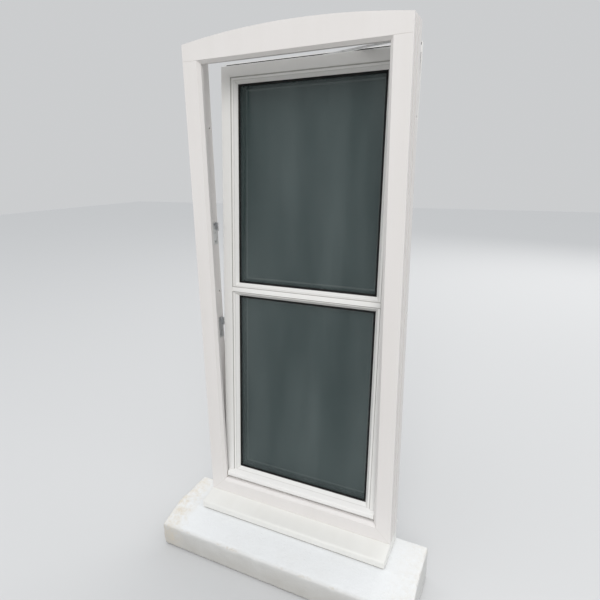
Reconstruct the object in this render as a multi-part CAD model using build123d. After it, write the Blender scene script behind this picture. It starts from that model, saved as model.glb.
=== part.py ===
from build123d import *
import os
from math import acos, asin, cos, degrees, hypot, pi, radians, sin, tan

# A white uPVC tilt-and-turn window with an arched head, on its uPVC sill and painted stone sill.
# Millimetres. X runs across the window, +Y into the room, +Z up. The origin is the middle of the
# stone sill's underside, in the plane of the frame's outer face. The sash is drawn closed and is
# tipped into its tilt position at the end.

os.makedirs("parts", exist_ok=True)

# Stone sill
stone_overhang = 91.0
stone_projection = 144.0
stone_depth = 215.0
stone_front_height = 73.0
stone_seat_height = 100.0
stone_arris = 4.0
drip_width = 10.0
drip_setback = 22.0

# uPVC sill
sill_thickness = 30.0
sill_projection = 57.0
sill_nose_height = 21.5
sill_lip = 3.5
sill_nose_round = 6.0
sill_nose_gap = 3.0
sill_bedding_setback = 14.0
sill_cap_thickness = 3.0

# Outer frame
frame_width = 578.0
frame_springing = 1285.0
arch_rise = 20.5
frame_depth = 70.0
frame_face = 41.5
head_face = 38.5
frame_floor = 27.0
frame_chamfer = 8.0
frame_round = 1.0
upstand_depth = 17.0
seam_groove = 0.8
frame_wall = 4.0
frame_chamber_depth = 30.0
frame_chamber_setback = 22.0
corner_weld = 60.0
fixing_radius = 3.25
fixing_spacing = 450.0
fixing_inset = 10.0
edge_groove_width = 6.0
edge_groove_depth = 2.0
edge_groove_setbacks = (13.0, 37.0)
seal_edge = 2.0
seal_inset = 1.5
seal_taper = 2.0

# Sash
sash_lap = 3.0
foot_lap = 6.5
gasket_gap = 2.5
flange_gap = 4.0
flange_thickness = 12.0
flange_width = 20.0
sash_border = 44.5
sash_flat = 26.5
sash_quirk = 2.6
sash_chamfer_width = 8.0
sash_chamfer_depth = 11.0
sash_upstand_depth = 15.0
groove_width = 16.0
groove_depth = 10.0
groove_setback = 26.5
sash_chamber_setback = 20.5
sash_chamber_depth = 30.0
sash_wall = 2.5
sash_round = 1.5
flange_round = 3.0
moulding_round = 1.0
moulding_fall = 0.4
mid_rail_height = 648.0
mid_rail_face = 37.6
mid_rail_flat = 9.0
mid_rail_web = 9.0
tilt_angle = 4.32

# Weather bar on the sash's foot
bar_end_gap = 2.0
bar_underside_gap = 2.0
bar_projection = 10.0
bar_front_height = 12.5
bar_round = 2.5
bar_drip_width = 4.0
bar_drip_depth = 5.0
bar_drip_setback = 2.5

# Glass units, beads and seals
glass_cover = 11.0
glass_clearance = 3.1
pane_thickness = 4.0
cavity = 16.0
spacer_height = 7.0
glazing_gasket = 3.0
glazing_gasket_bed = 7.0
glazing_gasket_lip = 2.4
glazing_gasket_edge = 1.0
bead_width = 13.0
bead_face = 5.0
bead_slope = 6.0
bead_bulge = 2.0
packer_length = 60.0
flange_seal_inset = 1.5
flange_seal_width = 7.0
flange_seal_taper = 2.0
flange_seal_gap = 1.0
reinforcement_wall = 1.5
piece_gap = 0.3

# Hinges
hinge_offset = 9.0
hinge_forward = 10.0
hinge_height = 30.0
pin_radius = 3.0
pin_end_gap = 2.0
running_gap = 0.05
knuckle_radius = 6.5
knuckle_crown = 10.0
knuckle_bevel = 1.5
bearing_radius = 8.5
bearing_foot = 1.0
bearing_drop = 13.0
band_gap = 1.0
band_rise = 16.0
band_lift = 1.8
band_thickness = 2.2
band_strap = 75.0
band_round = 5.0
stay_length = 250.0
stay_thickness = 3.0
stay_height = 4.5
stay_half_width = 6.5
stay_pin_end_gap = 4.0
stay_strap_gap = 0.5
stay_shoulder_gap = 1.5
stay_shoulder_width = 7.0
stay_elbow = 9.5
strap_height = 8.0
strap_lap = 10.0
stay_bearing_radius = 7.0
stay_bearing_height = 26.0
stay_rail_tail = 70.0
stay_rail_end_gap = 12.0
stay_slot_side = 1.6
stay_slot_ends = (6.0, 22.0)
stay_slot_depth = 5.0

# Foot bolt and tilt keep
foot_bolt_setback = 73.5
foot_bolt_gap = 1.5
foot_rod_ends = (20.0, 12.0)
foot_plate_ends = (26.0, 20.0)
tilt_base_ends = (20.0, 26.0)
tilt_base_half_depth = 10.0
tilt_lip_ends = (6.0, 12.0)
tilt_lip_gap = 7.0
tilt_lip_height = 7.0

# Lock
handle_height = 560.0
lock_travel = 28.0
rod_width = 12.0
rod_thickness = 2.5
rod_end = 180.0
faceplate_thickness = 2.4
faceplate_end = 10.0
slot_side = 0.5
slot_end = 1.0
rack_depth = 6.5
rack_width = 8.0
rack_end = 8.0
tooth_count = 14
tooth_addendum = 0.9
tooth_dedendum = 1.25
tooth_backlash = 0.3
pressure_angle = 20.0
gearbox_half = 62.0
gearbox_front = 9.0
gearbox_side = 1.0
gearbox_pocket_gap = 0.7
hub_hole_share = 0.77
cam_radius = 5.0
cam_stem = 3.0
cam_reach = 8.0
cam_head = 2.5
cam_heights = (520.0, 800.0)
keep_thickness = 2.0
keep_half_depth = 11.0
keep_ends = (18.0, 16.0)
keep_lip_reach = 7.5
keep_lip_side = 0.7
keep_lip_ends = (4.0, 14.0)
keep_ramp = 3.0

# Handle
spindle_side = 7.0
spindle_socket = 14.0
spindle_slack = 0.02
rose_width = 25.0
rose_length = 70.0
rose_corner = 7.0
rose_thickness = 9.0
rose_bevel = 1.8
rose_screw_spacing = 48.0
rose_screw_radius = 2.3
rose_screw_height = 8.0
hub_radius = 8.5
lever_gap = 1.0
lever_standoff = 42.0
# Each section of the grip: height above the spindle, offset from its middle line, width, depth
# and corner radius.
lever_sections = (
    (-12.0, 0.8, 13.0, 8.0, 3.5),
    (-11.0, 0.4, 17.5, 11.5, 4.5),
    (-8.5, 0.0, 21.0, 14.0, 5.5),
    (8.0, 0.0, 21.5, 14.0, 5.5),
    (22.0, 0.3, 20.4, 13.4, 5.3),
    (38.0, 0.9, 19.0, 12.4, 5.0),
    (74.0, 2.6, 18.5, 11.6, 4.8),
    (96.0, 3.7, 19.2, 11.4, 4.8),
    (110.0, 4.3, 20.0, 11.2, 4.8),
    (115.5, 4.5, 19.0, 10.4, 4.6),
    (118.0, 4.6, 16.5, 8.6, 4.0),
    (119.0, 4.7, 12.5, 6.0, 2.8))
lever_middle_inset = 6.0

# Places worked out from the sizes
frame_base = stone_seat_height + sill_thickness
half_frame = frame_width / 2
stone_length = frame_width + 2 * stone_overhang
fixing_y = frame_depth - fixing_inset
half_opening = half_frame - frame_face
opening_low = frame_base + frame_face
opening_high = frame_base + frame_springing - head_face
rebate_step = frame_face - frame_floor
half_rebate = half_opening + rebate_step
rebate_low = opening_low - rebate_step
rebate_high = opening_high + rebate_step
springing_z = frame_base + frame_springing
sash_y = upstand_depth + gasket_gap
flange_y = frame_depth + flange_gap
room_y = flange_y + flange_thickness
half_sash = half_opening + sash_lap
sash_low = opening_low - foot_lap
sash_high = opening_high + sash_lap
quirk_y = sash_y + sash_quirk
glazing_floor = sash_border - glass_cover - glass_clearance
glazing_y = sash_y + sash_upstand_depth
glass_y = glazing_y + glazing_gasket
inner_glass_y = glass_y + pane_thickness + cavity
bead_y = inner_glass_y + pane_thickness + piece_gap
groove_low_y = sash_y + groove_setback
groove_y = groove_low_y + groove_width / 2
mid_rail_z = frame_base + mid_rail_height
turn_x = half_sash + flange_width + hinge_offset
turn_y = frame_depth + hinge_forward
tilt_z = frame_base + hinge_height
handle_z = frame_base + handle_height
pinion_radius = lock_travel / pi
tooth_pitch = 2 * lock_travel / tooth_count
spindle_x = -half_sash + rack_depth + pinion_radius
foot_bolt_x = foot_bolt_setback - half_sash
rod_face = faceplate_thickness + piece_gap


def block(x_span, y_span, z_span):
    """A box given by its low and high edge on each axis."""
    spans = (x_span, y_span, z_span)
    size = [abs(high - low) for low, high in spans]
    middle = [(low + high) / 2 for low, high in spans]
    return Pos(*middle) * Box(*size)


def bar(start, direction, radius, length):
    """A round bar from a point, along a direction."""
    return extrude(Plane(origin=start, z_dir=direction) * Circle(radius), amount=length)


def outline(*points):
    """A flat face with straight sides through the points."""
    return make_face(Polyline(*points, close=True))


def rounded(face, radius, *corners):
    """The face with the named corners rounded."""
    vertices = face.vertices()
    return fillet([vertices.sort_by_distance(corner)[0] for corner in corners], radius)


def section_along_x(face, x_low, x_high):
    """Extrudes a face, drawn with y then z, from one X to the other."""
    plane = Plane(origin=(x_low, 0, 0), x_dir=(0, 1, 0), z_dir=(1, 0, 0))
    return extrude(plane * face, amount=x_high - x_low)


def plan_along_z(face, z_low, z_high):
    """Extrudes a face, drawn with x then y, from one height to the other."""
    return extrude(Pos(0, 0, z_low) * face, amount=z_high - z_low)


def front_along_y(face, y_low, y_high):
    """Extrudes a face, drawn with x then z, from one depth to the other."""
    plane = Plane(origin=(0, y_low, 0), x_dir=(1, 0, 0), z_dir=(0, -1, 0))
    return extrude(plane * face, amount=y_low - y_high)


def mitred_bar(face, side, half_width, low, high, reach):
    """One side of a rectangular ring, cut at 45 degrees at both ends.

    The face is drawn with the distance inwards from the ring's outer edge, then y.
    """
    middle = (low + high) / 2
    inward = {"left": (1, 0, 0), "right": (-1, 0, 0), "bottom": (0, 0, 1), "top": (0, 0, -1)}[side]
    origin = Vector(0, 0, middle) - Vector(*inward) * half_width
    half_length = (high - low) / 2
    if side in ("bottom", "top"):
        origin = Vector(0, 0, low if side == "bottom" else high)
        half_length = half_width
    along = Vector(*inward).cross(Vector(0, 1, 0))
    plane = Plane(origin=origin, x_dir=inward, z_dir=along)
    solid = extrude(plane * face, amount=half_length + reach, both=True)
    flat = Plane(origin=origin, x_dir=inward, z_dir=(0, -1, 0))
    ends = outline((-reach, half_length + reach), (2 * reach, half_length - 2 * reach),
                   (2 * reach, 2 * reach - half_length), (-reach, -half_length - reach))
    return solid & extrude(flat * ends, amount=2 * frame_depth, both=True)


def mitred_ring(face, half_width, low, high, reach):
    """Four mitred bars welded into one rectangular ring."""
    sides = [mitred_bar(face, side, half_width, low, high, reach)
             for side in ("bottom", "right", "top", "left")]
    return sides[0] + sides[1] + sides[2] + sides[3]


def tube_bar(x_span, y_span, z_span, wall, axis):
    """A box-section bar, open at both ends along one axis."""
    spans = [x_span, y_span, z_span]
    inside = [span if index == axis else (span[0] + wall, span[1] - wall)
              for index, span in enumerate(spans)]
    return block(*spans) - block(*inside)


# Stone sill: a block with a flat seat for the uPVC sill, a sloping front part and a drip groove
# under its front edge.
def make_stone_sill():
    back = stone_depth - stone_projection
    front = -stone_projection
    face = outline((front, 0), (back, 0), (back, stone_seat_height),
                   (-sill_projection, stone_seat_height), (front, stone_front_height))
    face = rounded(face, stone_arris, (front, 0), (front, stone_front_height))
    stone = section_along_x(face, -stone_length / 2, stone_length / 2)
    ends = [edge for edge in stone.edges()
            if abs(abs(edge.center().X) - stone_length / 2) < 0.01 and edge.center().Z > 1
            and edge.center().Y < back - 1]
    stone = chamfer(ends, stone_arris / 2)
    drip = bar((2 * drip_setback - stone_length / 2, front + drip_setback, 0), (1, 0, 0),
               drip_width / 2, stone_length - 4 * drip_setback)
    return stone - drip


# uPVC sill: an extrusion with a sloping top, a rounded nose and a step under the nose that leaves
# a gap over the stone. A cap closes each end.
def make_sill(x_low, x_high):
    nose_high = stone_seat_height + sill_nose_height
    nose_low = stone_seat_height + sill_nose_gap
    bedding_y = sill_bedding_setback - sill_projection
    face = outline((frame_depth, stone_seat_height), (frame_depth, frame_base), (0, frame_base),
                   (0, frame_base + sill_lip), (-sill_projection, nose_high),
                   (-sill_projection, nose_low), (bedding_y, nose_low),
                   (bedding_y, stone_seat_height))
    face = rounded(face, sill_nose_round, (-sill_projection, nose_high))
    return section_along_x(face, x_low, x_high)


# Outer frame: jambs and bottom rail with an outer upstand that the sash closes behind.
def make_frame_ring():
    """The whole frame in one: the arched surround, and the bevelled lip round the opening."""
    arch = ThreePointArc((-half_frame, springing_z), (0, springing_z + arch_rise),
                         (half_frame, springing_z))
    sides = Polyline((half_frame, springing_z), (half_frame, frame_base),
                     (-half_frame, frame_base), (-half_frame, springing_z))
    surround = front_along_y(make_face([arch, sides]), 0, frame_depth)
    surround -= block((-half_opening, half_opening), (-1, upstand_depth + 1),
                      (opening_low, opening_high))
    surround -= block((-half_rebate, half_rebate), (upstand_depth, frame_depth + 1),
                      (rebate_low, rebate_high))
    lip = frame_chamfer
    face = outline((-lip, 0), (0, 0), (lip, lip), (lip, upstand_depth), (-lip, upstand_depth))
    face = rounded(face, frame_round, (0, 0), (lip, lip), (lip, upstand_depth))
    return surround + mitred_ring(face, half_opening, opening_low, opening_high, 2 * lip)


def head_region():
    """The head's side of the seams: level to the opening's corners, then mitred to the upstand."""
    corner = 3 * frame_chamfer
    wide = half_frame + frame_face
    top = springing_z + arch_rise + frame_face
    face = outline((-wide, opening_high), (-half_opening, opening_high),
                   (corner - half_opening, opening_high - corner),
                   (half_opening - corner, opening_high - corner), (half_opening, opening_high),
                   (wide, opening_high), (wide, top), (-wide, top))
    return front_along_y(face, -upstand_depth, frame_depth + upstand_depth)


def seam_grooves():
    """A shallow groove on the outer face along each level seam."""
    grooves = [extrude(Plane(origin=(side * (half_opening + half_frame) / 2, 0, opening_high),
                             x_dir=(0, 1, 0), z_dir=(1, 0, 0))
                       * Rot(0, 0, 45) * Rectangle(seam_groove, seam_groove),
                       amount=frame_face / 2 + 1, both=True) for side in (-1, 1)]
    return grooves[0] + grooves[1]


def edge_grooves():
    """The two clip grooves down the outer edge of each jamb."""
    grooves = [block((side * (half_frame - edge_groove_depth), side * (half_frame + 1)),
                     (setback, setback + edge_groove_width),
                     (frame_base - 1, springing_z + arch_rise))
               for side in (-1, 1) for setback in edge_groove_setbacks]
    return grooves[0] + grooves[1] + grooves[2] + grooves[3]


frame_chamber_y = (frame_chamber_setback, frame_chamber_setback + frame_chamber_depth)
jamb_chamber_z = (frame_base + corner_weld, opening_high - corner_weld / 2)
level_chamber_x = (corner_weld - half_frame, half_frame - corner_weld)
bottom_chamber_z = (frame_base + frame_wall, rebate_low - frame_wall)
head_chamber_z = (rebate_high + frame_wall, springing_z - frame_wall)


def jamb_chamber_x(side):
    return tuple(sorted((side * (half_rebate + frame_wall), side * (half_frame - frame_wall))))


def make_outer_frame(ring):
    frame = ring - head_region() - seam_grooves()
    for side in (-1, 1):
        frame -= block(jamb_chamber_x(side), frame_chamber_y, jamb_chamber_z)
        for step in (-1, 0, 1):
            hole_z = frame_base + frame_springing / 2 + step * fixing_spacing
            frame -= bar((side * (half_frame + 1), fixing_y, hole_z), (-side, 0, 0),
                         fixing_radius, frame_floor + 2)
    return frame - block(level_chamber_x, frame_chamber_y, bottom_chamber_z)


def make_frame_head(ring):
    head = (ring & head_region()) - seam_grooves()
    return head - block(level_chamber_x, frame_chamber_y, head_chamber_z)


def make_frame_reinforcement():
    """Steel box sections inside the frame's chambers."""
    def inset(span):
        return (span[0] + piece_gap, span[1] - piece_gap)
    depth = inset(frame_chamber_y)
    pieces = [tube_bar(inset(jamb_chamber_x(side)), depth, inset(jamb_chamber_z),
                       reinforcement_wall, 2) for side in (-1, 1)]
    pieces.append(tube_bar(inset(level_chamber_x), depth, inset(bottom_chamber_z),
                           reinforcement_wall, 0))
    pieces.append(tube_bar(inset(level_chamber_x), depth, inset(head_chamber_z),
                           reinforcement_wall, 0))
    return Compound(pieces)


def make_frame_gasket():
    """The rubber seal on the back of the frame's upstand."""
    inner = sash_lap + frame_chamfer - seal_inset
    face = outline((seal_edge, upstand_depth), (inner, upstand_depth),
                   (inner - seal_taper, sash_y - piece_gap),
                   (seal_edge + seal_taper, sash_y - piece_gap))
    return mitred_ring(face, half_sash, sash_low, sash_high, corner_weld / 2)


# Sash: mitred and welded bars with a moulded outer face, a hardware groove round the edge and a
# room-side flange that laps the frame.
def sash_section():
    chamfer_start = sash_border - sash_chamfer_width
    chamfer_y = quirk_y + moulding_fall
    corner = sash_quirk * sin(radians(45))
    face = make_face([
        Line((0, sash_y), (sash_flat, sash_y)),
        ThreePointArc((sash_flat, sash_y), (sash_flat + corner, quirk_y - corner),
                      (sash_flat + sash_quirk, quirk_y)),
        Polyline((sash_flat + sash_quirk, quirk_y), (chamfer_start, chamfer_y),
                 (sash_border, chamfer_y + sash_chamfer_depth), (sash_border, glazing_y),
                 (glazing_floor, glazing_y), (glazing_floor, room_y),
                 (-flange_width, room_y), (-flange_width, flange_y), (0, flange_y),
                 (0, groove_low_y + groove_width), (groove_depth, groove_low_y + groove_width),
                 (groove_depth, groove_low_y), (0, groove_low_y), (0, sash_y))])
    face = rounded(face, sash_round, (0, sash_y))
    face = rounded(face, moulding_round, (chamfer_start, chamfer_y))
    return rounded(face, flange_round, (-flange_width, room_y))


sash_chamber_s = (groove_depth + sash_wall, glazing_floor - sash_wall)
sash_chamber_y = (sash_y + sash_chamber_setback, sash_y + sash_chamber_setback
                  + sash_chamber_depth)
gearbox_s = (groove_depth - sash_wall, glazing_floor - sash_wall)
gearbox_y = (groove_low_y - gearbox_side, groove_low_y + groove_width + gearbox_side)
stile_chambers = {
    "right": [(sash_low + corner_weld, sash_high - corner_weld)],
    "left": [(sash_low + corner_weld, handle_z - gearbox_half - sash_wall),
             (handle_z + gearbox_half + sash_wall, sash_high - corner_weld)]}
rail_chamber_x = (corner_weld - half_sash, half_sash - corner_weld)


def sash_chambers(shrink):
    """The reinforcement chambers, each side shrunk by a gap: (x span, y span, z span, axis)."""
    s_low, s_high = sash_chamber_s[0] + shrink, sash_chamber_s[1] - shrink
    depth = (sash_chamber_y[0] + shrink, sash_chamber_y[1] - shrink)
    chambers = []
    for side, name in ((-1, "left"), (1, "right")):
        x_span = tuple(sorted((side * (half_sash - s_low), side * (half_sash - s_high))))
        chambers += [(x_span, depth, (low + shrink, high - shrink), 2)
                     for low, high in stile_chambers[name]]
    x_span = (rail_chamber_x[0] + shrink, rail_chamber_x[1] - shrink)
    chambers.append((x_span, depth, (sash_low + s_low, sash_low + s_high), 0))
    chambers.append((x_span, depth, (sash_high - s_high, sash_high - s_low), 0))
    return chambers


band_x = (half_sash + band_gap, half_sash + flange_width)
band_top = tilt_z + band_rise


def make_sash_frame():
    frame = mitred_ring(sash_section(), half_sash, sash_low, sash_high, corner_weld / 2)
    for x_span, y_span, z_span, _ in sash_chambers(0.0):
        frame -= block(x_span, y_span, z_span)
    gearbox_x = (gearbox_s[0] - half_sash, gearbox_s[1] - half_sash)
    frame -= block(gearbox_x, gearbox_y, (handle_z - gearbox_half, handle_z + gearbox_half))
    frame -= bar((spindle_x, gearbox_y[1] - 1, handle_z), (0, 1, 0), spindle_side - 1,
                 room_y - gearbox_y[1] + 2)
    return frame - block((band_x[0], band_x[1] + 1), (flange_y - 1, room_y + 1),
                         (sash_low - flange_width - 1, band_top))


def make_sash_reinforcement():
    return Compound([tube_bar(x_span, y_span, z_span, reinforcement_wall, axis)
                     for x_span, y_span, z_span, axis in sash_chambers(piece_gap)])


def make_mid_rail(sash_frame):
    """The rail between the panes, its ends scribed over the stiles' moulding."""
    half = mid_rail_face / 2
    flat = mid_rail_flat / 2
    chamfer_start = half - sash_chamfer_width
    chamfer_y = quirk_y + moulding_fall
    web = mid_rail_web / 2
    corner = sash_quirk * sin(radians(45))
    profile = [Line((sash_y, flat), (sash_y, -flat)), Line((room_y, web), (room_y, -web))]
    for sign in (1, -1):
        profile += [
            ThreePointArc((sash_y, sign * flat), (quirk_y - corner, sign * (flat + corner)),
                          (quirk_y, sign * (flat + sash_quirk))),
            Polyline((quirk_y, sign * (flat + sash_quirk)), (chamfer_y, sign * chamfer_start),
                     (chamfer_y + sash_chamfer_depth, sign * half), (glazing_y, sign * half),
                     (glazing_y, sign * web), (room_y, sign * web))]
    face = rounded(make_face(profile), moulding_round, (chamfer_y, chamfer_start),
                   (chamfer_y, -chamfer_start))
    reach = half_sash - sash_flat - sash_quirk
    return Pos(0, 0, mid_rail_z) * section_along_x(face, -reach, reach) - sash_frame


def make_weather_bar(sash_frame):
    """The bar on the sash's foot that throws rain clear of the frame, grooved underneath."""
    low = opening_low + frame_chamfer + bar_underside_gap
    high = sash_low + sash_border - sash_chamfer_width
    front = sash_y - bar_projection
    back = quirk_y + moulding_fall
    drip = front + bar_drip_setback
    face = outline((front, low), (drip, low), (drip, low + bar_drip_depth),
                   (drip + bar_drip_width, low + bar_drip_depth), (drip + bar_drip_width, low),
                   (back, low), (back, high), (front, low + bar_front_height))
    face = rounded(face, bar_round, (front, low + bar_front_height))
    half = half_opening - frame_chamfer - bar_end_gap
    return section_along_x(face, -half, half) - sash_frame


# Glass units: two panes and a hollow spacer bar each, held by a rubber gasket and four beads.
pane_half = half_sash - sash_border + glass_cover
units = {
    "upper": (mid_rail_z + mid_rail_face / 2 - glass_cover, sash_high - sash_border + glass_cover),
    "lower": (sash_low + sash_border - glass_cover, mid_rail_z - mid_rail_face / 2 + glass_cover)}


def make_pane(low, high, y_low):
    return block((-pane_half, pane_half), (y_low, y_low + pane_thickness), (low, high))


def make_spacer(low, high):
    setback = glass_cover - spacer_height
    y_low = glass_y + pane_thickness
    face = outline((setback, y_low), (glass_cover, y_low), (glass_cover, y_low + cavity),
                   (setback, y_low + cavity))
    return mitred_ring(face, pane_half, low, high, corner_weld / 4)


def make_glazing_gasket(low, high):
    lip = glass_cover + glazing_gasket_lip
    face = outline((glass_cover - glazing_gasket_bed, glazing_y), (glass_cover, glazing_y),
                   (lip, glass_y - glazing_gasket_edge), (lip, glass_y),
                   (glass_cover - glazing_gasket_bed, glass_y))
    return mitred_ring(face, pane_half, low, high, corner_weld / 4)


def make_bead(low, high, side):
    """One glazing bead, with a bowed face on the room side."""
    edge = bead_width - glass_clearance
    start = Vector(edge, bead_y + bead_face)
    end = Vector(edge - bead_slope, room_y)
    across = end - start
    bow = Vector(across.Y, -across.X).normalized() * bead_bulge
    middle = (start + end) * 0.5 + bow
    face = make_face([
        Polyline((edge - bead_slope, room_y), (-glass_clearance, room_y),
                 (-glass_clearance, bead_y), (edge, bead_y), (edge, bead_y + bead_face)),
        ThreePointArc(start, middle, end)])
    return mitred_bar(face, side, pane_half, low, high, corner_weld / 4)


def make_packers():
    """Plastic blocks under and beside each glass unit."""
    y_span = (glass_y, inner_glass_y + pane_thickness)
    packers = []
    for low, high in units.values():
        for side in (-1, 1):
            middle = side * (pane_half - 1.5 * packer_length)
            x_span = (middle - packer_length / 2, middle + packer_length / 2)
            packers.append(block(x_span, y_span, (low - glass_clearance, low)))
            edge = tuple(sorted((side * pane_half, side * (pane_half + glass_clearance))))
            packers.append(block(edge, y_span, (high - 2 * packer_length, high - packer_length)))
    return Compound(packers)


def make_sash_gasket():
    """The rubber seal on the sash flange, notched for the stay arm and the hinge band."""
    outer = flange_seal_inset - flange_width
    inner = outer + flange_seal_width
    lip_y = frame_depth + flange_seal_gap
    face = outline((outer, flange_y), (inner, flange_y), (inner - flange_seal_taper, lip_y),
                   (outer + flange_seal_taper, lip_y))
    ring = mitred_ring(face, half_sash, sash_low, sash_high, corner_weld / 2)
    notch = block((half_sash, turn_x), (frame_depth, flange_y + 1),
                  (stay_z - strap_height, stay_z + strap_height))
    corner = block((half_sash - 2 * flange_seal_taper, turn_x), (frame_depth, flange_y + 1),
                   (sash_low - flange_width - 1, band_top + flange_seal_taper))
    return ring - notch - corner


# Hinge side. The sash turns on a vertical pin at the bottom corner and on the stay bearing above
# it, and tips on the level pin of the corner pivot.
bearing_low = frame_base + bearing_foot
bearing_top = tilt_z - bearing_drop
stay_z = sash_high + stay_height
stay_bearing_top = stay_z - strap_height / 2 + stay_thickness / 2


def make_pivot_bearing():
    """The bracket on the frame's room face that carries the sash's weight."""
    body = bar((turn_x, turn_y, bearing_low), (0, 0, 1), bearing_radius,
               bearing_top - bearing_low)
    body += block((turn_x - bearing_radius, turn_x + bearing_radius), (frame_depth, turn_y),
                  (bearing_low, bearing_top))
    return body - bar((turn_x, turn_y, bearing_low + pin_end_gap), (0, 0, 1),
                      pin_radius + running_gap, bearing_top)


def make_corner_pivot():
    """The knuckle with an upright pin in the bearing and a level pin in the sash's band."""
    bottom = bearing_top + piece_gap
    pin_low = bearing_low + pin_end_gap + bearing_foot
    knuckle = bar((turn_x, turn_y, bottom), (0, 0, 1), knuckle_radius,
                  tilt_z + knuckle_crown - bottom)
    knuckle = chamfer(knuckle.edges().group_by(Axis.Z)[-1], knuckle_bevel)
    upright = bar((turn_x, turn_y, pin_low), (0, 0, 1), pin_radius, bottom + 1 - pin_low)
    level = bar((turn_x, turn_y, tilt_z), (-1, 0, 0), pin_radius,
                turn_x - band_x[0] - pin_end_gap)
    return knuckle + upright + level


def make_hinge_band():
    """The sash's corner band: an eye for the level pin and a strap up the stile."""
    low = bearing_top + band_lift
    front = room_y + band_thickness
    eye = block((band_x[0] + piece_gap, band_x[1] + 1), (flange_y + piece_gap, front),
                (low, band_top - piece_gap))
    eye = fillet(eye.edges().filter_by(Axis.X).group_by(Axis.Y)[-1], knuckle_bevel)
    strap = block((band_x[0] + piece_gap, band_x[1] - flange_round), (room_y, front),
                  (band_top - piece_gap, band_top + band_strap))
    strap = fillet(strap.edges().filter_by(Axis.Y).group_by(Axis.Z)[-1], band_round)
    return eye + strap - bar((band_x[0], turn_y, tilt_z), (1, 0, 0), pin_radius + running_gap,
                             2 * flange_width)


def make_stay_bearing():
    """The top bracket on the frame's room face, with the upright pin for the stay arm."""
    low = stay_bearing_top - stay_bearing_height
    body = bar((turn_x, turn_y, low), (0, 0, 1), stay_bearing_radius, stay_bearing_height)
    body += block((turn_x - stay_bearing_radius, turn_x + stay_bearing_radius),
                  (frame_depth, turn_y), (low, stay_bearing_top))
    return body + bar((turn_x, turn_y, low), (0, 0, 1), pin_radius,
                      stay_bearing_height + strap_height + pin_end_gap)


def make_stay_arm():
    """The arm that limits the tilt: eye, strap under the flange, and a flat arm with its pin."""
    low = stay_bearing_top + piece_gap
    strap_y = frame_depth + stay_strap_gap
    strap_back = strap_y + stay_thickness
    end_x = turn_x - stay_length
    shoulder = half_rebate - stay_shoulder_gap
    elbow_y = frame_depth - stay_elbow
    eye = bar((turn_x, turn_y, low), (0, 0, 1), stay_bearing_radius, strap_height)
    strap = block((shoulder - stay_shoulder_width + 1, turn_x), (strap_y, strap_back),
                  (low, low + strap_height))
    plan = outline((end_x, groove_y - stay_half_width), (shoulder - stay_shoulder_width, elbow_y),
                   (shoulder, elbow_y), (shoulder, strap_back),
                   (shoulder - strap_lap, strap_back), (end_x, groove_y + stay_half_width))
    arm = plan_along_z(plan, stay_z, stay_z + stay_thickness)
    tip = bar((end_x, groove_y, stay_z), (0, 0, 1), stay_half_width, stay_thickness)
    pin = bar((end_x, groove_y, stay_z), (0, 0, -1), pin_radius,
              stay_height + groove_depth - stay_pin_end_gap)
    return eye + strap + arm + tip + pin - bar((turn_x, turn_y, low - 1), (0, 0, 1),
                                               pin_radius + running_gap, strap_height + 2)


stay_reach = hypot(stay_length, turn_y - groove_y)
stay_rest = asin((turn_y - groove_y) / stay_reach)
slot_y = ((groove_y - turn_y) * cos(radians(tilt_angle))
          + (sash_high - tilt_z) * sin(radians(tilt_angle)))
stay_swing = degrees(asin(slot_y / stay_reach) + stay_rest)


def make_stay_rail():
    """The slotted rail in the sash's top groove that the stay arm's pin slides in."""
    end_x = turn_x - stay_length
    slot_half = pin_radius + stay_slot_side
    rail = block((end_x - stay_rail_tail, half_sash - stay_rail_end_gap),
                 (groove_low_y, groove_low_y + groove_width),
                 (sash_high - faceplate_thickness, sash_high))
    return rail - block((end_x - stay_slot_ends[0], end_x + stay_slot_ends[1]),
                        (groove_y - slot_half, groove_y + slot_half),
                        (sash_high - stay_slot_depth, sash_high + 1))


# Foot bolt: the rod's lower end, led round the corner, holds the sash's foot while it tips.
def make_tilt_keep():
    """The keep on the bottom rail: two lips that the foot bolt stands between while it tips."""
    base = block((foot_bolt_x - tilt_base_ends[0], foot_bolt_x + tilt_base_ends[1]),
                 (groove_y - tilt_base_half_depth, groove_y + tilt_base_half_depth),
                 (rebate_low, rebate_low + keep_thickness))
    lip = block((foot_bolt_x - tilt_lip_ends[0], foot_bolt_x + tilt_lip_ends[1]),
                (tilt_lip_gap, tilt_lip_gap + keep_thickness),
                (rebate_low, rebate_low + tilt_lip_height))
    return base + Pos(0, groove_y, 0) * lip + Pos(0, groove_y, 0) * lip.mirror(Plane.XZ)


def make_foot_plate():
    """The slotted plate in the sash's foot that the bolt slides behind."""
    plate = block((foot_bolt_x - lock_travel - foot_plate_ends[0],
                   foot_bolt_x + foot_plate_ends[1]),
                  (groove_low_y, groove_low_y + groove_width),
                  (sash_low, sash_low + faceplate_thickness))
    reach = cam_stem + slot_end
    side = cam_stem + slot_side
    return plate - block((foot_bolt_x - lock_travel - reach, foot_bolt_x + reach),
                         (groove_y - side, groove_y + side),
                         (sash_low - 1, sash_low + faceplate_thickness + 1))


def make_foot_bolt():
    """The sliding bolt that stands in the tilt keep, on its short rod."""
    low = sash_low + rod_face
    rod = block((foot_bolt_x - foot_rod_ends[0], foot_bolt_x + foot_rod_ends[1]),
                (groove_y - rod_width / 2, groove_y + rod_width / 2), (low, low + rod_thickness))
    end_z = rebate_low + keep_thickness + foot_bolt_gap
    return rod + bar((foot_bolt_x, groove_y, end_z), (0, 0, 1), cam_stem, low + 1 - end_z)


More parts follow.
